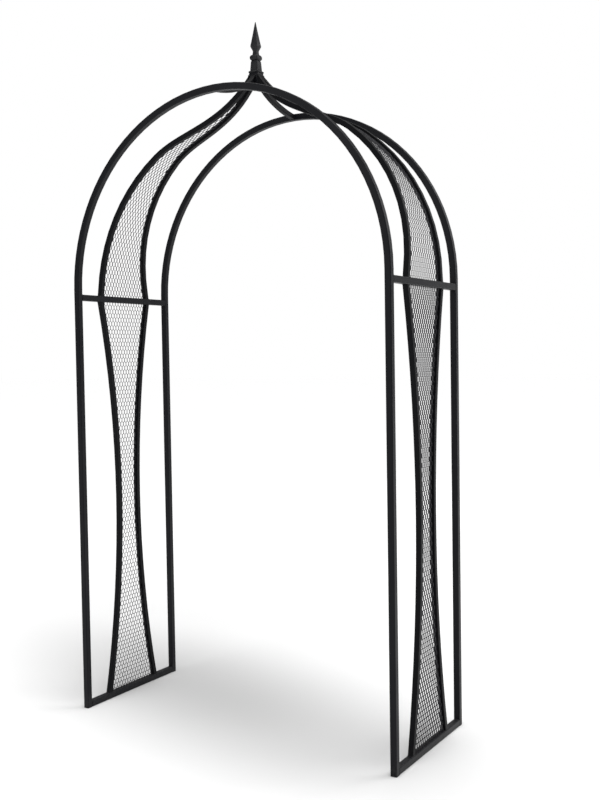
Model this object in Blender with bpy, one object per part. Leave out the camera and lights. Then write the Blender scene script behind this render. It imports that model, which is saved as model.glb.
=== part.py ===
"""A welded garden arch with trellis sides.

Two hoops of square tube stand one behind the other. On each side, two thinner
rods with expanded metal between them run from the bottom bar up to the
crossbar, on round the arch and up to a spear finial over its middle.

Lengths are metres, angles radians, +Z up. The origin is on the ground at the
centre of the arch. X runs across the walkway and Y along it, front at -Y.
"""

import math

import bmesh
import bpy
from mathutils import Matrix, Vector

# Frame
span = 1.300  # between the centres of the left and right legs
depth = 0.510  # between the centres of the front and rear legs
spring_height = 1.590  # where the straight legs end and the arch begins
crossbar_height = 1.560  # centre of the crossbars
tube_side = 0.023
tube_wall = 0.0015
tube_corner = 0.0020

# Trellis rods
rod_side = 0.019
rod_wall = 0.0015
rod_corner = 0.0016
lower_spread = 0.134  # from the middle of the side to a lower rod, at its two ends
waist_spread = 0.0535  # the same at the waist
upper_spread = 0.132  # the same at the foot of an upper rod
upper_spread_low = 0.080  # how fast an upper pair closes in, at the foot and towards the hub
upper_spread_high = 0.050
pair_clearance = 0.0022  # from the middle to the face of an upper rod, where it meets the hub
ogee_start = math.radians(50)  # how far up the arch an upper rod leaves it
haunch_bulge = 0.009  # how far an upper rod stands outside the arch, half way to there
ogee_end_slope = math.radians(52)
ogee_lead_out = 0.137  # how long the rod keeps its direction at each end of the ogee
ogee_lead_in = 0.197

# Apex
hub_side = 0.0385
hub_height = 0.045
hub_rise = 0.085  # from the centre of the arch tubes at the top to the rods' welds on the hub
brace_start_slope = math.radians(6.5)  # at the arch tube
brace_end_slope = math.radians(52.5)  # at the hub
brace_lead_out = 0.106
brace_lead_in = 0.045

# Finial
collar_side = 0.0410
collar_thickness = 0.0080
collar_edge = 0.0022
sleeve_foot = 0.0325
sleeve_shoulder = 0.0285
sleeve_height = 0.0370
sleeve_rounding = 0.0070
sleeve_neck = 0.0215
bead_side = 0.0350
bead_height = 0.0205
bead_bevel = 0.0074
bead_neck = 0.0200
waist_side = 0.0165
waist_height = 0.0125
spear_side = 0.0300
spear_shoulder = 0.0185
spear_length = 0.0865
spear_tip = 0.0016

# Trellis panels
panel_thickness = 0.0018
panel_end_spread = 0.019  # the upper panels stop where the rods are this far from the middle

# Clearance between pieces that meet
gap = 0.0003

# Stations along each curve
arch_steps = 48
lower_steps = 16
follow_steps = 10
ogee_steps = 18
brace_steps = 9

arch_radius = span / 2
apex_height = spring_height + arch_radius
hub_weld_height = apex_height + hub_rise
up = Vector((0, 0, 1))

for old in list(bpy.data.objects):
    bpy.data.objects.remove(old, do_unlink=True)

parts = bpy.data.collections.new("trellis_arch")
bpy.context.scene.collection.children.link(parts)


def paint(name, colour, roughness, metallic):
    material = bpy.data.materials.new(name)
    material.use_nodes = True
    shader = material.node_tree.nodes["Principled BSDF"]
    shader.inputs["Base Color"].default_value = (*colour, 1)
    shader.inputs["Roughness"].default_value = roughness
    shader.inputs["Metallic"].default_value = metallic
    return material


frame_paint = paint("frame_paint", (0.016, 0.017, 0.020), 0.42, 0.0)
rod_paint = paint("rod_paint", (0.017, 0.018, 0.021), 0.45, 0.0)
mesh_paint = paint("mesh_paint", (0.020, 0.020, 0.024), 0.50, 0.0)
cast_paint = paint("cast_paint", (0.018, 0.020, 0.022), 0.50, 0.0)


def mesh_of(bm, name, material):
    """Make a mesh from a bmesh, with its normals pointing out and its edges kept sharp."""
    bmesh.ops.recalc_face_normals(bm, faces=bm.faces)
    mesh = bpy.data.meshes.new(name)
    bm.to_mesh(mesh)
    bm.free()
    mesh.shade_smooth()
    mesh.set_sharp_from_angle(angle=math.radians(30))
    mesh.materials.append(material)
    return mesh


def square_loop(bm, half, corner):
    """A closed loop of edges round a square in the XY plane, its corners cut off by the given size."""
    corners = [(half, half), (-half, half), (-half, -half), (half, -half)]
    verts = []
    for index, (x, y) in enumerate(corners):
        if not corner:
            verts.append(bm.verts.new((x, y, 0)))
            continue
        along_x = (x - math.copysign(corner, x), y, 0)
        along_y = (x, y - math.copysign(corner, y), 0)
        pair = (along_y, along_x) if index % 2 == 0 else (along_x, along_y)
        verts.extend(bm.verts.new(place) for place in pair)
    return [bm.edges.new((a, b)) for a, b in zip(verts, verts[1:] + verts[:1])]


def station(place, direction, side, cut=None):
    """The frame of one section: its X along side, its plane square to the direction or to cut."""
    direction = direction.normalized()
    cut = (cut or direction).normalized()
    side = (side - direction * side.dot(direction)).normalized()
    across = direction.cross(side)
    axes = [axis - direction * (axis.dot(cut) / direction.dot(cut)) for axis in (side, across)]
    return Matrix.Translation(place) @ Matrix((*axes, direction)).transposed().to_4x4()


def stations_along(points, side_of, first_cut=None, last_cut=None):
    """A frame at every point of a path, each square to the path there, with its ends cut as asked."""
    frames = []
    last = len(points) - 1
    for index, place in enumerate(points):
        before = points[max(index - 1, 0)]
        after = points[min(index + 1, last)]
        direction = (after - before).normalized()
        cut = {0: first_cut, last: last_cut}.get(index)
        frames.append(station(place, direction, side_of(direction), cut))
    return frames


def extruded(bm, section):
    """Grow a section. Returns its new faces and edges, and their vertices."""
    grown = bmesh.ops.extrude_face_region(bm, geom=section)["geom"]
    verts = [item for item in grown if isinstance(item, bmesh.types.BMVert)]
    return [item for item in grown if item not in verts], verts


def square_tube(frames, side, wall, corner, name, material):
    """A square tube, open at both ends, that runs through the frames."""
    bm = bmesh.new()
    outer = square_loop(bm, side / 2, corner)
    inner = square_loop(bm, side / 2 - wall, 0)
    bmesh.ops.bridge_loops(bm, edges=outer + inner)
    bmesh.ops.transform(bm, matrix=frames[0], verts=bm.verts)
    section = [*bm.faces, *bm.edges]
    for before, after in zip(frames, frames[1:]):
        section, verts = extruded(bm, section)
        bmesh.ops.transform(bm, matrix=after @ before.inverted(), verts=verts)
    return mesh_of(bm, name, material)


def straight_tube(start, end, name):
    """A piece of the main tube between two points, square to X."""
    start, end = Vector(start), Vector(end)
    frames = [station(place, end - start, Vector((1, 0, 0))) for place in (start, end)]
    return square_tube(frames, tube_side, tube_wall, tube_corner, name, frame_paint)


def square_stack(levels, name, material):
    """A solid of square sections one above another, from (height, side) levels."""
    bm = bmesh.new()
    height, side = levels[0]
    circle = bmesh.ops.create_circle(bm, cap_ends=True, segments=4, radius=side / math.sqrt(2))
    bmesh.ops.rotate(bm, verts=circle["verts"], matrix=Matrix.Rotation(math.pi / 4, 3, "Z"))
    bmesh.ops.translate(bm, verts=circle["verts"], vec=(0, 0, height))
    top = [*bm.faces, *bm.edges]
    for next_height, next_side in levels[1:]:
        top, verts = extruded(bm, top)
        bmesh.ops.scale(bm, verts=verts, vec=(next_side / side, next_side / side, 1))
        bmesh.ops.translate(bm, verts=verts, vec=(0, 0, next_height - height))
        height, side = next_height, next_side
    return mesh_of(bm, name, material)


def bezier(start, start_handle, end_handle, end, share):
    rest = 1 - share
    return (
        start * rest**3
        + start_handle * (3 * rest * rest * share)
        + end_handle * (3 * rest * share * share)
        + end * share**3
    )


def placed(name, mesh, location=(0, 0, 0), mirror=(1, 1, 1)):
    """One more object for a mesh, moved or mirrored about the origin's planes."""
    copy = bpy.data.objects.new(name, mesh)
    copy.location = location
    copy.scale = mirror
    parts.objects.link(copy)
    return copy


sides = (("left", -1), ("right", 1))
ends = (("front", -1), ("rear", 1))


# Legs, arch tubes, bottom bars and crossbars
leg = straight_tube((0, 0, 0), (0, 0, spring_height - gap / 2), "leg")
reach = depth / 2 - tube_side / 2 - gap
bar = straight_tube((0, -reach, 0), (0, reach, 0), "bar")
for side_name, side in sides:
    for end_name, end in ends:
        placed(f"leg_{end_name}_{side_name}", leg, (side * span / 2, end * depth / 2, 0))
    placed(f"bottom_bar_{side_name}", bar, (side * span / 2, 0, tube_side / 2))
    placed(f"crossbar_{side_name}", bar, (side * span / 2, 0, crossbar_height))

arch_frames = []
for step in range(arch_steps + 1):
    turn = math.pi * step / arch_steps
    radial = Vector((-math.cos(turn), 0, math.sin(turn)))
    place = radial * arch_radius
    # The two ends start half a clearance above the legs.
    place.z = max(place.z, gap / 2)
    arch_frames.append(station(place, Vector((math.sin(turn), 0, math.cos(turn))), radial))
arch = square_tube(arch_frames, tube_side, tube_wall, tube_corner, "arch", frame_paint)
for end_name, end in ends:
    placed(f"arch_{end_name}", arch, (0, end * depth / 2, spring_height))


# Lower rods: an arc through the bottom bar, the waist and the crossbar
lower_foot = tube_side + gap
lower_head = crossbar_height - tube_side / 2 - gap
lower_half = (lower_head - lower_foot) / 2
lower_sag = lower_spread - waist_spread
lower_radius = (lower_half**2 + lower_sag**2) / (2 * lower_sag)


def lower_rod_path():
    """Points of the rear lower rod, with X left at the middle."""
    turn = math.asin(lower_half / lower_radius)
    middle = (lower_foot + lower_head) / 2
    points = []
    for step in range(lower_steps + 1):
        angle = turn * (2 * step / lower_steps - 1)
        spread = waist_spread + lower_radius * (1 - math.cos(angle))
        points.append(Vector((0, spread, middle + lower_radius * math.sin(angle))))
    return points


# Upper rods: straight up from the crossbar, round the arch, then the ogee to the hub
upper_foot = crossbar_height + tube_side / 2 + gap


def upper_profile():
    """(distance from the middle, height) along an upper rod, as seen from the front."""
    places = [(arch_radius, upper_foot)]
    for step in range(follow_steps + 1):
        turn = ogee_start * step / follow_steps
        radius = arch_radius + haunch_bulge * math.sin(math.pi * step / follow_steps)
        places.append((radius * math.cos(turn), spring_height + radius * math.sin(turn)))
    start = Vector(places[-1])
    outward = Vector((math.cos(ogee_start), math.sin(ogee_start)))
    closing = haunch_bulge * math.pi / ogee_start  # how fast the bulge dies away at the start of the ogee
    along = Vector((-outward.y, outward.x)) * arch_radius - outward * closing
    along.normalize()
    end = Vector((hub_side / 2 + gap, hub_weld_height))
    arrive = Vector((-math.cos(ogee_end_slope), math.sin(ogee_end_slope)))
    handles = start + along * ogee_lead_out, end - arrive * ogee_lead_in
    for step in range(1, ogee_steps + 1):
        places.append(tuple(bezier(start, *handles, end, step / ogee_steps)))
    return places


def upper_rod_path():
    """Points of the right rear upper rod. It closes in on its partner as it climbs."""
    profile = upper_profile()
    lengths = [0.0]
    for before, after in zip(profile, profile[1:]):
        lengths.append(lengths[-1] + math.dist(before, after))
    end_spread = rod_side / 2 + pair_clearance
    points = []
    for (out, height), length in zip(profile, lengths):
        share = length / lengths[-1]
        spread = bezier(upper_spread, upper_spread_low, upper_spread_high, end_spread, share)
        points.append(Vector((out, spread, height)))
    return points


def in_profile_normal(direction):
    """The normal of a rod's path that lies in the XZ plane."""
    return Vector((direction.z, 0, -direction.x))


def along_x(direction):
    return Vector((1, 0, 0))


hub_side_cut = Vector((1, 0, 0))
hub_end_cut = Vector((0, 1, 0))
lower_frames = stations_along(lower_rod_path(), along_x, up, up)
lower_rod = square_tube(lower_frames, rod_side, rod_wall, rod_corner, "lower_rod", rod_paint)
upper_frames = stations_along(upper_rod_path(), in_profile_normal, up, hub_side_cut)
upper_rod = square_tube(upper_frames, rod_side, rod_wall, rod_corner, "upper_rod", rod_paint)
for side_name, side in sides:
    for end_name, end in ends:
        place = (side * span / 2, 0, 0)
        placed(f"lower_rod_{end_name}_{side_name}", lower_rod, place, (side, end, 1))
        placed(f"upper_rod_{end_name}_{side_name}", upper_rod, mirror=(side, end, 1))


# Braces from the hub to the front and the rear arch tube
brace_start = Vector((0, depth / 2 - tube_side / 2 - gap, apex_height))
brace_end = Vector((0, hub_side / 2 + gap, hub_weld_height))
brace_leave = Vector((0, -math.cos(brace_start_slope), math.sin(brace_start_slope)))
brace_arrive = Vector((0, -math.cos(brace_end_slope), math.sin(brace_end_slope)))
brace_points = [
    bezier(
        brace_start,
        brace_start + brace_leave * brace_lead_out,
        brace_end - brace_arrive * brace_lead_in,
        brace_end,
        step / brace_steps,
    )
    for step in range(brace_steps + 1)
]
brace_frames = stations_along(brace_points, along_x, hub_end_cut, hub_end_cut)
brace = square_tube(brace_frames, rod_side, rod_wall, rod_corner, "apex_brace", rod_paint)
for end_name, end in ends:
    placed(f"apex_brace_{end_name}", brace, mirror=(1, end, 1))


# Panels of expanded metal, each a sheet of its outline
def panel(frames, name):
    """A sheet between a pair of rods, from the stations of the right rear one."""
    inset = rod_side / 2 + gap
    bm = bmesh.new()
    rows = []
    for frame in frames:
        inner = frame.translation - frame.col[1].to_3d() * inset
        if inner.y < panel_end_spread - inset:
            break
        thick = Vector((frame.col[2].z, 0, -frame.col[2].x)).normalized() * panel_thickness / 2
        corners = [(inner.y, -1), (inner.y, 1), (-inner.y, 1), (-inner.y, -1)]
        rows.append([bm.verts.new(Vector((inner.x, y, inner.z)) + thick * face) for y, face in corners])
    loops = [[bm.edges.new((a, b)) for a, b in zip(row, row[1:] + row[:1])] for row in rows]
    for before, after in zip(loops, loops[1:]):
        bmesh.ops.bridge_loops(bm, edges=before + after)
    bmesh.ops.holes_fill(bm, edges=loops[0] + loops[-1], sides=4)
    return mesh_of(bm, name, mesh_paint)


lower_panel = panel(lower_frames, "lower_panel")
upper_panel = panel(upper_frames, "upper_panel")
for side_name, side in sides:
    placed(f"lower_panel_{side_name}", lower_panel, (side * span / 2, 0, 0), (side, 1, 1))
    placed(f"upper_panel_{side_name}", upper_panel, mirror=(side, 1, 1))


# Hub, collar and finial
hub_top = hub_weld_height + hub_height / 2
hub = square_stack([(hub_top - hub_height, hub_side), (hub_top, hub_side)], "hub", frame_paint)
placed("finial_hub", hub)

collar_foot = hub_top + gap
collar_top = collar_foot + collar_thickness
collar_levels = [
    (collar_foot, collar_side - 2 * collar_edge),
    (collar_foot + collar_edge, collar_side),
    (collar_top - collar_edge, collar_side),
    (collar_top, collar_side - 2 * collar_edge),
]
placed("finial_collar", square_stack(collar_levels, "collar", cast_paint))

sleeve_bottom = collar_top + gap
sleeve_top = sleeve_bottom + sleeve_height
bead_top = sleeve_top + bead_height
spear_bottom = bead_top + waist_height
spear_wide = spear_bottom + spear_shoulder
spear_levels = [
    (sleeve_bottom, sleeve_foot),
    (sleeve_top - sleeve_rounding, sleeve_shoulder),
    (sleeve_top, sleeve_neck),
    (sleeve_top + bead_bevel, bead_side),
    (bead_top - bead_bevel, bead_side),
    (bead_top, bead_neck),
    (bead_top + waist_height / 2, waist_side),
    (spear_bottom, waist_side),
    (spear_wide, spear_side),
    (spear_wide + spear_length, spear_tip),
]
placed("finial_spear", square_stack(spear_levels, "spear", cast_paint))
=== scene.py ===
# Looks of the garden arch: coated square tube, expanded metal, weld beads and a cast finial
import math

import bmesh
import bpy
from mathutils import Matrix, Vector, noise


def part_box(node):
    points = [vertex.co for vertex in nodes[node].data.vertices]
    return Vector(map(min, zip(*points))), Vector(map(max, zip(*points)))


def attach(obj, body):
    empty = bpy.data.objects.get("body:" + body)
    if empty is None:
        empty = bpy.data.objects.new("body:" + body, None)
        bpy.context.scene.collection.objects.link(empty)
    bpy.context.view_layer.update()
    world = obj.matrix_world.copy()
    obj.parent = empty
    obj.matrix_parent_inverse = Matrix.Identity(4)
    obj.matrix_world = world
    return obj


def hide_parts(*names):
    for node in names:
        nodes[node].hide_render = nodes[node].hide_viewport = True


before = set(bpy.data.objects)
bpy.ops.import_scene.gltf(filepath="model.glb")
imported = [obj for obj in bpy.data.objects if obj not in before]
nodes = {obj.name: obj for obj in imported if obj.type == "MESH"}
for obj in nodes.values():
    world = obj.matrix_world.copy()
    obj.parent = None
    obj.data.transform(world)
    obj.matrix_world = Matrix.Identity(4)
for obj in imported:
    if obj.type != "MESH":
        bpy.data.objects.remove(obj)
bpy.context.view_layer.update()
sides = ("left", "right")
ends = ("front", "rear")
print("frame loaded with", len(nodes), "nodes")


# Camera

view = {
    "place": (2.0442, -3.0675, 1.3116),
    "azimuth": 31.505,
    "pitch": -2.253,
    "roll": -0.889,
    "lens": 30.255,
    "sensorHeight": 24,
    "farthest": 200,
}


def makeCamera():
    data = bpy.data.cameras.new("camera")
    data.sensor_fit = "VERTICAL"
    data.sensor_height = view["sensorHeight"]
    data.lens = view["lens"]
    data.clip_end = view["farthest"]
    camera = bpy.data.objects.new("camera", data)
    heading = Matrix.Rotation(math.radians(view["azimuth"]), 4, "Z")
    tilt = Matrix.Rotation(math.radians(90 + view["pitch"]), 4, "X")
    roll = Matrix.Rotation(math.radians(view["roll"]), 4, "Z")
    camera.matrix_world = Matrix.Translation(view["place"]) @ heading @ tilt @ roll
    bpy.context.scene.collection.objects.link(camera)
    bpy.context.scene.camera = camera


makeCamera()
print("camera set")


# Materials

def addSocket(group, name, kind, inOut, value=None):
    socket = group.interface.new_socket(name=name, in_out=inOut, socket_type=kind)
    if value is not None:
        socket.default_value = value
    return socket


coatPattern = {
    "peelDetail": 3,
    "peelHeight": 0.001,
    "cloudDetail": 4,
    "cloudLow": 0.3,
    "cloudHigh": 0.7,
    "dustSlope": 0.35,
    "speckScale": 160,
    "speckDetail": 5,
    "speckLow": 0.42,
    "speckHigh": 0.72,
    "glossInTone": 0.35,
    "dustDulls": 0.35,
}


def makeCoatGroup():
    # Powder coat: fine orange peel, cloudy gloss, dust on upward faces, scuffs near the ground
    group = bpy.data.node_groups.new("coatSkin", "ShaderNodeTree")
    addSocket(group, "Coat", "NodeSocketColor", "INPUT", (0.02, 0.02, 0.02, 1))
    addSocket(group, "Dust", "NodeSocketColor", "INPUT", (0.2, 0.19, 0.17, 1))
    addSocket(group, "Dust Amount", "NodeSocketFloat", "INPUT", 0.1)
    addSocket(group, "Scuff Height", "NodeSocketFloat", "INPUT", 0.05)
    addSocket(group, "Peel Scale", "NodeSocketFloat", "INPUT", 600)
    addSocket(group, "Cloud Scale", "NodeSocketFloat", "INPUT", 7)
    addSocket(group, "Gloss Low", "NodeSocketFloat", "INPUT", 0.35)
    addSocket(group, "Gloss High", "NodeSocketFloat", "INPUT", 0.5)
    addSocket(group, "Color", "NodeSocketColor", "OUTPUT")
    addSocket(group, "Roughness", "NodeSocketFloat", "OUTPUT")
    addSocket(group, "Height", "NodeSocketFloat", "OUTPUT")
    tree = group.nodes
    link = group.links.new
    given = tree.new("NodeGroupInput")
    out = tree.new("NodeGroupOutput")
    place = tree.new("ShaderNodeTexCoord")

    peel = tree.new("ShaderNodeTexNoise")
    peel.inputs["Detail"].default_value = coatPattern["peelDetail"]
    link(place.outputs["Object"], peel.inputs["Vector"])
    link(given.outputs["Peel Scale"], peel.inputs["Scale"])
    link(peel.outputs["Fac"], out.inputs["Height"])

    cloud = tree.new("ShaderNodeTexNoise")
    cloud.inputs["Detail"].default_value = coatPattern["cloudDetail"]
    link(place.outputs["Object"], cloud.inputs["Vector"])
    link(given.outputs["Cloud Scale"], cloud.inputs["Scale"])

    gloss = tree.new("ShaderNodeMapRange")
    gloss.inputs["From Min"].default_value = coatPattern["cloudLow"]
    gloss.inputs["From Max"].default_value = coatPattern["cloudHigh"]
    link(cloud.outputs["Fac"], gloss.inputs["Value"])
    link(given.outputs["Gloss Low"], gloss.inputs["To Min"])
    link(given.outputs["Gloss High"], gloss.inputs["To Max"])

    shape = tree.new("ShaderNodeNewGeometry")
    facing = tree.new("ShaderNodeSeparateXYZ")
    link(shape.outputs["Normal"], facing.inputs["Vector"])
    settled = tree.new("ShaderNodeMapRange")
    settled.inputs["From Min"].default_value = coatPattern["dustSlope"]
    link(facing.outputs["Z"], settled.inputs["Value"])

    speck = tree.new("ShaderNodeTexNoise")
    speck.inputs["Scale"].default_value = coatPattern["speckScale"]
    speck.inputs["Detail"].default_value = coatPattern["speckDetail"]
    link(place.outputs["Object"], speck.inputs["Vector"])
    speckle = tree.new("ShaderNodeMapRange")
    speckle.inputs["From Min"].default_value = coatPattern["speckLow"]
    speckle.inputs["From Max"].default_value = coatPattern["speckHigh"]
    link(speck.outputs["Fac"], speckle.inputs["Value"])

    level = tree.new("ShaderNodeSeparateXYZ")
    link(place.outputs["Object"], level.inputs["Vector"])
    scuff = tree.new("ShaderNodeMapRange")
    scuff.inputs["From Max"].default_value = 0
    link(level.outputs["Z"], scuff.inputs["Value"])
    link(given.outputs["Scuff Height"], scuff.inputs["From Min"])

    reach = tree.new("ShaderNodeMath")
    reach.operation = "MAXIMUM"
    link(settled.outputs["Result"], reach.inputs[0])
    link(scuff.outputs["Result"], reach.inputs[1])
    grime = tree.new("ShaderNodeMath")
    grime.operation = "MULTIPLY"
    link(reach.outputs["Value"], grime.inputs[0])
    link(speckle.outputs["Result"], grime.inputs[1])
    share = tree.new("ShaderNodeMath")
    share.operation = "MULTIPLY"
    link(grime.outputs["Value"], share.inputs[0])
    link(given.outputs["Dust Amount"], share.inputs[1])

    depthTone = tree.new("ShaderNodeMix")
    depthTone.data_type = "RGBA"
    depthTone.blend_type = "MULTIPLY"
    depthTone.inputs["Factor"].default_value = coatPattern["glossInTone"]
    link(given.outputs["Coat"], depthTone.inputs["A"])
    link(gloss.outputs["Result"], depthTone.inputs["B"])
    dusted = tree.new("ShaderNodeMix")
    dusted.data_type = "RGBA"
    link(share.outputs["Value"], dusted.inputs["Factor"])
    link(depthTone.outputs["Result"], dusted.inputs["A"])
    link(given.outputs["Dust"], dusted.inputs["B"])
    link(dusted.outputs["Result"], out.inputs["Color"])

    duller = tree.new("ShaderNodeMath")
    duller.operation = "MULTIPLY_ADD"
    duller.inputs[1].default_value = coatPattern["dustDulls"]
    link(share.outputs["Value"], duller.inputs[0])
    link(gloss.outputs["Result"], duller.inputs[2])
    link(duller.outputs["Value"], out.inputs["Roughness"])
    return group


coatGroup = makeCoatGroup()
coats = {
    "frame": {
        "Coat": (0.0052, 0.0056, 0.0082, 1),
        "Dust Amount": 0.12,
        "Scuff Height": 0.06,
        "Peel Scale": 620,
        "Gloss Low": 0.34,
        "Gloss High": 0.46,
        "bump": 0.06,
        "specular": 0.15,
    },
    # The rods' coat is the frame's black paint made darker: painted shade, for rods that sit inside the
    # frame
    "rod": {
        "Coat": (0.0036, 0.0038, 0.0052, 1),
        "Dust Amount": 0.10,
        "Scuff Height": 0.06,
        "Peel Scale": 680,
        "Gloss Low": 0.40,
        "Gloss High": 0.54,
        "bump": 0.06,
        "specular": 0.10,
    },
    "strand": {
        "Coat": (0.0200, 0.0195, 0.0250, 1),
        "Dust Amount": 0.20,
        "Scuff Height": 0.08,
        "Peel Scale": 900,
        "Gloss Low": 0.42,
        "Gloss High": 0.56,
        "bump": 0.05,
        "specular": 0.30,
    },
    "bead": {
        "Coat": (0.0050, 0.0053, 0.0076, 1),
        "Dust Amount": 0.18,
        "Scuff Height": 0.06,
        "Peel Scale": 900,
        "Gloss Low": 0.36,
        "Gloss High": 0.48,
        "bump": 0.10,
        "specular": 0.15,
    },
    "casting": {
        "Coat": (0.0074, 0.0080, 0.0100, 1),
        "Dust Amount": 0.16,
        "Scuff Height": 0.0,
        "Peel Scale": 420,
        "Gloss Low": 0.44,
        "Gloss High": 0.60,
        "bump": 0.22,
        "specular": 0.30,
    },
}


def makeCoat(name):
    values = coats[name]
    material = bpy.data.materials.new(name + "Coat")
    material.use_nodes = True
    tree = material.node_tree
    shader = tree.nodes["Principled BSDF"]
    shader.inputs["Specular IOR Level"].default_value = values["specular"]
    skin = tree.nodes.new("ShaderNodeGroup")
    skin.node_tree = coatGroup
    for key, value in values.items():
        if key not in ("bump", "specular"):
            skin.inputs[key].default_value = value
    bump = tree.nodes.new("ShaderNodeBump")
    bump.inputs["Strength"].default_value = values["bump"]
    bump.inputs["Distance"].default_value = coatPattern["peelHeight"]
    tree.links.new(skin.outputs["Color"], shader.inputs["Base Color"])
    tree.links.new(skin.outputs["Roughness"], shader.inputs["Roughness"])
    tree.links.new(skin.outputs["Height"], bump.inputs["Height"])
    tree.links.new(bump.outputs["Normal"], shader.inputs["Normal"])
    return material


materials = {name: makeCoat(name) for name in coats}
print("coats mixed")


# Shared mesh work

def finishPiece(bm, name, material, replaced=(), smoothAngle=40):
    # Put the mesh in the scene, riding on the frame
    bmesh.ops.recalc_face_normals(bm, faces=bm.faces)
    mesh = bpy.data.meshes.new(name)
    bm.to_mesh(mesh)
    bm.free()
    mesh.shade_smooth()
    mesh.set_sharp_from_angle(angle=math.radians(smoothAngle))
    mesh.materials.append(materials[material])
    piece = bpy.data.objects.new(name, mesh)
    bpy.context.scene.collection.objects.link(piece)
    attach(piece, "root")
    if replaced:
        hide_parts(*replaced)
    return piece


def growRing(bm, ring, matrix):
    # Extrude a ring of edges and move the new ring by the matrix
    grown = bmesh.ops.extrude_edge_only(bm, edges=ring)["geom"]
    verts = [item for item in grown if isinstance(item, bmesh.types.BMVert)]
    bmesh.ops.transform(bm, matrix=matrix, verts=verts)
    return [item for item in grown if isinstance(item, bmesh.types.BMEdge)]


def uprightEdges(bm, leastRise=0.0001):
    return [edge for edge in bm.edges if abs(edge.verts[0].co.z - edge.verts[1].co.z) > leastRise]


# Tubes and rods: the CAD shapes with their corners rounded

tube = {
    "round": 0.0006,
    "roundSteps": 2,
    "cornerLow": 25,
    "cornerHigh": 65,
    "blendLimit": 60,
    "flatLimit": 2,
    "joinLimit": 60,
    "mergeDistance": 0.00001,
}


def keepFacesFlat(mesh):
    # Wide faces keep their own normals and the narrow corner faces bend to meet them
    bm = bmesh.new()
    bm.from_mesh(mesh)
    limit = math.radians(tube["blendLimit"])
    normals = []
    for face in bm.faces:
        for corner in face.loops:
            blend = Vector()
            for near in corner.vert.link_faces:
                if near.normal.angle(face.normal) < limit:
                    blend += near.normal * near.calc_area() ** 2
            normals.append(blend.normalized())
    bm.free()
    mesh.normals_split_custom_set(normals)


def roundedCopy(name, material):
    bm = bmesh.new()
    bm.from_mesh(nodes[name].data)
    bmesh.ops.remove_doubles(bm, verts=bm.verts, dist=tube["mergeDistance"])
    bmesh.ops.join_triangles(
        bm,
        faces=bm.faces,
        angle_face_threshold=math.radians(tube["flatLimit"]),
        angle_shape_threshold=math.radians(tube["joinLimit"]),
    )
    corners = []
    for edge in bm.edges:
        turn = math.degrees(edge.calc_face_angle(0))
        if tube["cornerLow"] < turn < tube["cornerHigh"]:
            corners.append(edge)
    bmesh.ops.bevel(
        bm,
        geom=corners,
        offset=tube["round"],
        offset_type="OFFSET",
        segments=tube["roundSteps"],
        profile=0.5,
        affect="EDGES",
        material=-1,
        clamp_overlap=True,
    )
    piece = finishPiece(bm, name + "Coated", material, (name,))
    keepFacesFlat(piece.data)


for side in sides:
    for end in ends:
        roundedCopy(f"leg_{end}_{side}", "frame")
        # The rods take the darker rod coat with its painted shade
        roundedCopy(f"lower_rod_{end}_{side}", "rod")
        roundedCopy(f"upper_rod_{end}_{side}", "rod")
    roundedCopy(f"bottom_bar_{side}", "frame")
    roundedCopy(f"crossbar_{side}", "frame")
for end in ends:
    roundedCopy(f"arch_{end}", "frame")
    # The apex braces take the darker rod coat with its painted shade
    roundedCopy(f"apex_brace_{end}", "rod")
print("tubes and rods rounded")


# Expanded metal: zigzag strands that share bonds, wrapped onto the panel's own sheet

expanded = {
    "cellWidth": 0.0156,
    "cellLength": 0.0317,
    "bondLength": 0.0080,
    "bendSteps": 4,
    "mergeDistance": 0.00002,
    "lower": {"width": 0.0036, "thick": 0.0021, "tilt": -45},
    "upper": {"width": 0.0012, "thick": 0.0023, "tilt": -80},
}


def makeStrand(kind, rising):
    # One strand, from the middle of a bond to the middle of the next, along X
    section = expanded[kind]
    tilt = math.radians(section["tilt"])
    lean = Vector((0, math.cos(tilt), math.sin(tilt))) * section["width"] / 2
    quarter = expanded["cellWidth"] / 4
    low = Vector((0, -quarter, 0)) + lean
    high = Vector((0, quarter, 0)) - lean
    start, finish = (low, high) if rising else (high, low)
    length = expanded["cellLength"] / 2
    bend = length - expanded["bondLength"]
    stops = [(0, 0)]
    for step in range(expanded["bendSteps"] + 1):
        share = step / expanded["bendSteps"]
        along = expanded["bondLength"] / 2 + bend * share
        stops.append((along, share * share * (3 - 2 * share)))
    stops.append((length, 1))
    bm = bmesh.new()
    bmesh.ops.create_circle(bm, segments=4, radius=math.sqrt(0.5))  # a square of side 1
    turned = Matrix.Rotation(math.radians(45), 4, "Z")
    flat = Matrix.Diagonal((section["width"], section["thick"], 1, 1))
    faceAlongX = Matrix(((0, 0, 1, 0), (1, 0, 0, 0), (0, 1, 0, 0), (0, 0, 0, 1)))
    bmesh.ops.transform(
        bm,
        matrix=Matrix.Rotation(tilt, 4, "X") @ faceAlongX @ flat @ turned,
        verts=bm.verts,
    )
    bmesh.ops.translate(bm, vec=start, verts=bm.verts)
    ring = list(bm.edges)
    for (fromX, fromShare), (toX, toShare) in zip(stops, stops[1:]):
        shift = (finish - start) * (toShare - fromShare)
        shift.x += toX - fromX
        ring = growRing(bm, ring, Matrix.Translation(shift))
    mesh = bpy.data.meshes.new("strand")
    bm.to_mesh(mesh)
    bm.free()
    return mesh


def readSheet(name):
    # (distance along, middle point, half width) rungs of a CAD panel, from its foot up
    rear = {tuple(round(value, 6) for value in vert.co) for vert in nodes[name].data.vertices}
    rear = sorted((place for place in rear if place[1] > 0), key=lambda place: place[2])
    rungs = []
    for near, far in zip(rear[::2], rear[1::2]):
        middle = (Vector(near) + Vector(far)) / 2
        foot = Vector((middle.x, 0, middle.z))
        along = rungs[-1][0] + (foot - rungs[-1][1]).length if rungs else 0
        rungs.append((along, foot, middle.y))
    return rungs


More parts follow.
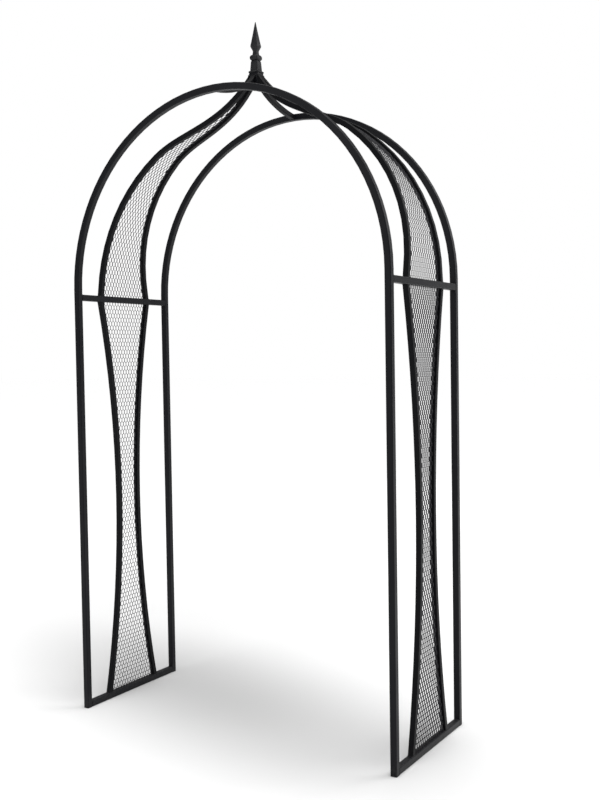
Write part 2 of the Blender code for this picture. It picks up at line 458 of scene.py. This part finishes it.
def sheetAt(rungs, along):
    # The sheet's middle point, direction and half width; it runs on straight past its ends
    index = 0
    while index < len(rungs) - 2 and rungs[index + 1][0] < along:
        index += 1
    (startAlong, start, startWide), (stopAlong, stop, stopWide) = rungs[index:index + 2]
    share = (along - startAlong) / (stopAlong - startAlong)
    wide = startWide + (stopWide - startWide) * min(max(share, 0), 1)
    direction = (stop - start).normalized()
    return start + direction * (along - startAlong), direction, wide


def makeExpanded(kind, side, steps):
    # Row by row over the sheet, then wrapped onto it; the cut ends lie inside the bars and the rods
    name = f"{kind}_panel_{side}"
    rungs = readSheet(name)
    pitch = expanded["cellLength"] / 2
    lane = expanded["cellWidth"] / 2
    strands = {rising: makeStrand(kind, rising) for rising in (True, False)}
    size = len(strands[True].vertices)
    lanes = math.ceil(max(rung[2] for rung in rungs) / lane) + 1
    bm = bmesh.new()
    for step in range(-1, steps(rungs[-1][0] / pitch)):
        wide = max(sheetAt(rungs, (step + share) * pitch)[2] for share in (0, 0.5, 1))
        for index in range(-lanes, lanes + 1):
            if abs(index * lane) - lane / 2 > wide:
                continue
            bm.from_mesh(strands[(index + step) % 2 == 0])
            bm.verts.ensure_lookup_table()
            for vert in bm.verts[-size:]:
                vert.co.x += step * pitch
                vert.co.y += index * lane
    bmesh.ops.remove_doubles(bm, verts=bm.verts, dist=expanded["mergeDistance"])
    bmesh.ops.holes_fill(bm, edges=[edge for edge in bm.edges if edge.is_boundary], sides=4)
    for vert in bm.verts:
        place, direction = sheetAt(rungs, vert.co.x)[:2]
        normal = Vector((direction.z, 0, -direction.x))
        vert.co = place + normal * vert.co.z + Vector((0, vert.co.y, 0))
    finishPiece(bm, name + "Expanded", "strand", (name,), smoothAngle=30)


for side in sides:
    makeExpanded("lower", side, math.ceil)
    makeExpanded("upper", side, math.floor)
print("expanded metal made")


# Weld beads

weld = {
    "radius": 0.0014,
    "ripple": 0.0021,
    "rippleDip": 0.82,
    "endTaper": 0.45,
    "wobble": 0.00022,
    "wobbleScale": 300,
    "sides": 8,
    "corner": 0.0018,
    "inset": 0.001,
    "endLimit": 0.0001,
}


def weldRun(points, closed=False):
    # A rippled bead through the points
    path = []
    count = len(points) if closed else len(points) - 1
    for index in range(count):
        start = Vector(points[index])
        stop = Vector(points[(index + 1) % len(points)])
        steps = max(2, round((stop - start).length / weld["ripple"] * 2))
        path += [start.lerp(stop, step / steps) for step in range(steps)]
    if not closed:
        path.append(Vector(points[-1]))
    bm = bmesh.new()
    bmesh.ops.create_circle(bm, segments=weld["sides"], radius=1)
    last = len(path) - 1
    before = None
    ring = list(bm.edges)
    for index, place in enumerate(path):
        ahead = path[(index + 1) % len(path)] if closed or index < last else place
        behind = path[index - 1] if closed or index > 0 else place
        direction = (ahead - behind).normalized()
        size = weld["radius"] * (1 if index % 2 else weld["rippleDip"])
        if not closed and index in (0, last):
            size *= weld["endTaper"]
        shift = noise.noise_vector(place * weld["wobbleScale"]) * weld["wobble"]
        turned = direction.to_track_quat("Z", "Y").to_matrix().to_4x4()
        matrix = Matrix.Translation(place + shift) @ turned @ Matrix.Diagonal((size, size, 1, 1))
        if before is None:
            bmesh.ops.transform(bm, matrix=matrix, verts=bm.verts)
        else:
            ring = growRing(bm, ring, matrix @ before.inverted())
        before = matrix
    if closed:
        loose = [edge for edge in bm.edges if edge.is_boundary]
        bmesh.ops.bridge_loops(bm, edges=loose)
    else:
        bmesh.ops.holes_fill(bm, edges=[edge for edge in bm.edges if edge.is_boundary], sides=0)
    mesh = bpy.data.meshes.new("weld")
    bm.to_mesh(mesh)
    bm.free()
    return mesh


def endOutline(name, axis, sign):
    # The rectangle in which a node ends along an axis: (plane, lowest corner, highest corner)
    verts = [vert.co for vert in nodes[name].data.vertices]
    plane = max(co[axis] * sign for co in verts) * sign
    flush = [co for co in verts if abs(co[axis] - plane) < weld["endLimit"]]
    low = [min(co[index] for co in flush) for index in range(3)]
    high = [max(co[index] for co in flush) for index in range(3)]
    return plane, low, high


def weldAround(name, axis, sign):
    # A closed bead round the end of a node, with its corners cut off
    plane, low, high = endOutline(name, axis, sign)
    first, second = [index for index in range(3) if index != axis]
    cut = weld["corner"]
    points = []
    for a, b, stepA, stepB in (
        (low[first], low[second], 1, 1),
        (high[first], low[second], -1, 1),
        (high[first], high[second], -1, -1),
        (low[first], high[second], 1, -1),
    ):
        pair = [(a, b + stepB * cut), (a + stepA * cut, b)]
        if stepA * stepB < 0:
            pair.reverse()
        for x, y in pair:
            point = [0, 0, 0]
            point[axis] = plane
            point[first] = x
            point[second] = y
            points.append(point)
    return weldRun(points, closed=True)


def gatherWelds(name, meshes):
    bm = bmesh.new()
    for mesh in meshes:
        bm.from_mesh(mesh)
        bpy.data.meshes.remove(mesh)
    finishPiece(bm, name, "bead", smoothAngle=60)


for side in sides:
    beads = []
    for bar, heights in ((f"bottom_bar_{side}", (1,)), (f"crossbar_{side}", (0, 1))):
        low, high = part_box(bar)
        for y in (low.y, high.y):
            for height in heights:
                z = (low.z, high.z)[height]
                beads.append(weldRun([(low.x + weld["inset"], y, z), (high.x - weld["inset"], y, z)]))
    for end in ends:
        beads.append(weldAround(f"lower_rod_{end}_{side}", 2, -1))
        beads.append(weldAround(f"lower_rod_{end}_{side}", 2, 1))
        beads.append(weldAround(f"upper_rod_{end}_{side}", 2, -1))
    gatherWelds(f"side_welds_{side}", beads)

beads = []
for side in sides:
    for end in ends:
        beads.append(weldAround(f"upper_rod_{end}_{side}", 0, -1 if side == "right" else 1))
for end in ends:
    beads.append(weldAround(f"apex_brace_{end}", 1, 1 if end == "front" else -1))
    beads.append(weldAround(f"apex_brace_{end}", 1, -1 if end == "front" else 1))
gatherWelds("apex_welds", beads)
print("weld beads laid")


# Seams where the legs meet the arch tubes, ground flush

seam = {"proud": 0.00012, "height": 0.0009, "corner": 0.0020, "cornerSteps": 3}


def seamBand(leg):
    low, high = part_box(leg)
    middle = (low + high) / 2
    half = (high.x - low.x) / 2 + seam["proud"]
    bm = bmesh.new()
    bmesh.ops.create_cube(bm, size=1)
    bmesh.ops.scale(bm, vec=(half * 2, half * 2, seam["height"]), verts=bm.verts)
    bmesh.ops.bevel(
        bm, geom=uprightEdges(bm), offset=seam["corner"], offset_type="OFFSET",
        segments=seam["cornerSteps"], profile=0.5, affect="EDGES", material=-1,
    )
    bmesh.ops.translate(bm, vec=(middle.x, middle.y, high.z), verts=bm.verts)
    finishPiece(bm, leg + "_seam", "frame")


for side in sides:
    for end in ends:
        seamBand(f"leg_{end}_{side}")
print("seams dressed")


# Tack welds that hold the expanded metal to the rods

tack = {
    "spacing": 0.058,
    "size": 0.0024,
    "wide": 0.75,
    "deep": 0.55,
    "tall": 1.7,
    "jitter": 0.25,
    "jitterScale": 40,
    "lumps": 0.0002,
    "lumpScale": 700,
}


def makeTacks(name):
    rungs = readSheet(name)
    bm = bmesh.new()
    count = int(rungs[-1][0] / tack["spacing"])
    for index in range(count):
        along = (index + 0.5) * rungs[-1][0] / count
        place, direction, wide = sheetAt(rungs, along)
        for end in (-1, 1):
            made = bmesh.ops.create_icosphere(bm, subdivisions=2, radius=tack["size"])
            spot = place + Vector((0, end * wide, 0))
            jitter = 1 + tack["jitter"] * noise.noise(spot * tack["jitterScale"])
            turned = direction.to_track_quat("Z", "Y").to_matrix().to_4x4()
            sized = Matrix.Diagonal((tack["wide"] * jitter, tack["deep"], tack["tall"] * jitter, 1))
            matrix = Matrix.Translation(spot) @ turned @ sized
            bmesh.ops.transform(bm, matrix=matrix, verts=made["verts"])
    for vert in bm.verts:
        vert.co += noise.noise_vector(vert.co * tack["lumpScale"]) * tack["lumps"]
    finishPiece(bm, name + "_tacks", "bead", smoothAngle=60)


for side in sides:
    makeTacks(f"lower_panel_{side}")
    makeTacks(f"upper_panel_{side}")
print("tack welds set")


# Hub, collar and the cast spear

apex = {"soft": 0.0014, "softSteps": 3, "flatLimit": 1}


def softBlock(name, material):
    # The CAD block with every edge softened
    bm = bmesh.new()
    bm.from_mesh(nodes[name].data)
    bmesh.ops.remove_doubles(bm, verts=bm.verts, dist=tube["mergeDistance"])
    flat = math.radians(apex["flatLimit"])
    bmesh.ops.dissolve_limit(bm, angle_limit=flat, verts=bm.verts, edges=bm.edges)
    bmesh.ops.bevel(
        bm, geom=list(bm.edges), offset=apex["soft"], offset_type="OFFSET",
        segments=apex["softSteps"], profile=0.5, affect="EDGES", material=-1, clamp_overlap=True,
    )
    finishPiece(bm, name + "Coated", material, (name,), smoothAngle=50)


softBlock("finial_hub", "frame")
softBlock("finial_collar", "casting")

spear = {
    "foot": 0.0325,
    "sleeve": 0.0285,
    "sleeveNeck": 0.0212,
    "bead": 0.0350,
    "beadNeck": 0.0198,
    "waist": 0.0165,
    "wide": 0.0300,
    "tip": 0.0018,
    "footRound": 0.0012,
    "sleeveHeight": 0.0300,
    "shoulderHeight": 0.0070,
    "beadHeight": 0.0205,
    "waistHeight": 0.0125,
    "swellHeight": 0.0185,
    "steps": 6,
    "bladeCurve": 0.94,
    "edgeRound": 9,
    "edgeSteps": 2,
}


def spearProfile(height):
    # (height, side of the square section) from the foot to the tip
    shares = [(step + 1) / spear["steps"] for step in range(spear["steps"])]
    profile = [(0, spear["foot"] - spear["footRound"]), (spear["footRound"], spear["foot"])]
    base = spear["sleeveHeight"]
    profile.append((base, spear["sleeve"]))
    for share in shares:
        turn = share * math.pi / 2
        side = spear["sleeveNeck"] + (spear["sleeve"] - spear["sleeveNeck"]) * math.cos(turn)
        profile.append((base + spear["shoulderHeight"] * math.sin(turn), side))
    base += spear["shoulderHeight"]
    for share in shares:
        neck = spear["sleeveNeck"] + (spear["beadNeck"] - spear["sleeveNeck"]) * share
        side = neck + (spear["bead"] - spear["sleeveNeck"]) * math.sin(share * math.pi)
        profile.append((base + spear["beadHeight"] * (1 - math.cos(share * math.pi)) / 2, side))
    base += spear["beadHeight"]
    for share in shares:
        side = spear["waist"] + (spear["beadNeck"] - spear["waist"]) * (1 - share) ** 2
        profile.append((base + spear["waistHeight"] * share, side))
    base += spear["waistHeight"]
    for share in shares:
        swell = (share + share * share * (3 - 2 * share)) / 2
        side = spear["waist"] + (spear["wide"] - spear["waist"]) * swell
        profile.append((base + spear["swellHeight"] * share, side))
    base += spear["swellHeight"]
    for share in shares:
        side = spear["wide"] + (spear["tip"] - spear["wide"]) * share ** spear["bladeCurve"]
        profile.append((base + (height - base) * share, side))
    return profile


def makeSpear():
    # Square sections one above another, then the four edges rounded
    low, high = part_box("finial_spear")
    bm = bmesh.new()
    bmesh.ops.create_circle(bm, segments=4, radius=math.sqrt(0.5))  # a square of side 1
    bmesh.ops.rotate(bm, matrix=Matrix.Rotation(math.radians(45), 3, "Z"), verts=bm.verts)
    ring = list(bm.edges)
    before = Matrix.Identity(4)
    for index, (height, side) in enumerate(spearProfile(high.z - low.z)):
        matrix = Matrix.Translation((0, 0, low.z + height)) @ Matrix.Diagonal((side, side, 1, 1))
        if index == 0:
            bmesh.ops.transform(bm, matrix=matrix, verts=bm.verts)
        else:
            ring = growRing(bm, ring, matrix @ before.inverted())
        before = matrix
    bmesh.ops.holes_fill(bm, edges=[edge for edge in bm.edges if edge.is_boundary], sides=4)
    bmesh.ops.bevel(
        bm, geom=uprightEdges(bm), offset=spear["edgeRound"], offset_type="PERCENT",
        segments=spear["edgeSteps"], profile=0.5, affect="EDGES", material=-1, clamp_overlap=True,
    )
    finishPiece(bm, "finial_spear_cast", "casting", ("finial_spear",), smoothAngle=35)


makeSpear()
print("finial cast")


# Floor, light and backdrop

studio = {
    "floorSize": 120,
    "floorDrop": 0.0005,
    "floorTone": 0.80,
    "floorRoughness": 0.9,
    "floorSpecular": 0.1,
    "skyForCamera": 1.0,
    "skyForLight": 0.22,
}

# Soft painted shadow in the floor's colour: middle, turn in degrees, reach along and across, depth
shades = {
    "under": {"middle": (-0.215, 0.045), "turn": -18.1, "reach": (1.90, 0.75), "depth": 0.38},
    "behind": {"middle": (-1.16, 0.87), "turn": -20.3, "reach": (2.80, 1.39), "depth": 0.14},
}


def addShade(tree, name):
    # How much light a soft oval patch of painted shadow takes away from the floor's colour
    values = shades[name]
    place = tree.nodes.new("ShaderNodeTexCoord")
    oval = tree.nodes.new("ShaderNodeMapping")
    oval.vector_type = "TEXTURE"
    oval.inputs["Location"].default_value = (*values["middle"], 0)
    oval.inputs["Rotation"].default_value = (0, 0, math.radians(values["turn"]))
    oval.inputs["Scale"].default_value = (*values["reach"], 1)
    tree.links.new(place.outputs["Object"], oval.inputs["Vector"])
    distance = tree.nodes.new("ShaderNodeVectorMath")
    distance.operation = "LENGTH"
    tree.links.new(oval.outputs["Vector"], distance.inputs[0])
    shade = tree.nodes.new("ShaderNodeMapRange")
    shade.interpolation_type = "SMOOTHSTEP"
    shade.inputs["To Min"].default_value = values["depth"]
    shade.inputs["To Max"].default_value = 0
    tree.links.new(distance.outputs["Value"], shade.inputs["Value"])
    return shade.outputs["Result"]


def makeFloor():
    bm = bmesh.new()
    bmesh.ops.create_grid(bm, x_segments=1, y_segments=1, size=studio["floorSize"] / 2)
    bmesh.ops.translate(bm, vec=(0, 0, -studio["floorDrop"]), verts=bm.verts)
    mesh = bpy.data.meshes.new("floor")
    bm.to_mesh(mesh)
    bm.free()
    material = bpy.data.materials.new("paleFloor")
    material.use_nodes = True
    tree = material.node_tree
    shader = tree.nodes["Principled BSDF"]
    shader.inputs["Roughness"].default_value = studio["floorRoughness"]
    shader.inputs["Specular IOR Level"].default_value = studio["floorSpecular"]
    full = tree.nodes.new("ShaderNodeValue")
    full.outputs["Value"].default_value = 1
    light = full.outputs["Value"]
    # Painted shadow: the shade patches darken the floor's base colour
    for name in shades:
        left = tree.nodes.new("ShaderNodeMath")
        left.operation = "SUBTRACT"
        tree.links.new(light, left.inputs[0])
        tree.links.new(addShade(tree, name), left.inputs[1])
        light = left.outputs["Value"]
    tone = tree.nodes.new("ShaderNodeMath")
    tone.operation = "MULTIPLY"
    tone.inputs[1].default_value = studio["floorTone"]
    tree.links.new(light, tone.inputs[0])
    tree.links.new(tone.outputs["Value"], shader.inputs["Base Color"])
    mesh.materials.append(material)
    floor = bpy.data.objects.new("floor", mesh)
    bpy.context.scene.collection.objects.link(floor)


def makeSky():
    world = bpy.data.worlds.new("studioSky")
    bpy.context.scene.world = world
    world.use_nodes = True
    tree = world.node_tree
    back = tree.nodes["Background"]
    back.inputs["Color"].default_value = (1, 1, 1, 1)
    ray = tree.nodes.new("ShaderNodeLightPath")
    strength = tree.nodes.new("ShaderNodeMapRange")
    strength.inputs["To Min"].default_value = studio["skyForLight"]
    strength.inputs["To Max"].default_value = studio["skyForCamera"]
    tree.links.new(ray.outputs["Is Camera Ray"], strength.inputs["Value"])
    tree.links.new(strength.outputs["Result"], back.inputs["Strength"])


# Size is in metres for a box and in degrees for the sun
lamps = {
    "overhead": {"kind": "SUN", "place": (0.8, -0.3, 5), "aim": (0, 0, 0), "size": 70, "power": 3.4},
    "rightBox": {"kind": "AREA", "place": (3.6, 2.6, 3.7), "aim": (0.4, 0, 1.9), "size": 2.4, "power": 75},
    "frontBox": {"kind": "AREA", "place": (-1.9, -4.5, 3.1), "aim": (0.3, 0, 2.0), "size": 2.2, "power": 32},
    "backBox": {"kind": "AREA", "place": (0.5, 7.0, 2.6), "aim": (0, 0, 0.8), "size": 4.5, "power": 70},
}


def makeLamp(name):
    values = lamps[name]
    data = bpy.data.lights.new(name, values["kind"])
    if values["kind"] == "SUN":
        data.angle = math.radians(values["size"])
    else:
        data.size = values["size"]
    data.energy = values["power"]
    lamp = bpy.data.objects.new(name, data)
    aim = Vector(values["aim"]) - Vector(values["place"])
    turned = aim.to_track_quat("-Z", "Y").to_matrix().to_4x4()
    lamp.matrix_world = Matrix.Translation(values["place"]) @ turned
    bpy.context.scene.collection.objects.link(lamp)
    lamp.visible_camera = False


makeFloor()
makeSky()
for name in lamps:
    makeLamp(name)
bpy.context.scene.view_settings.view_transform = "Standard"
print("studio lit")
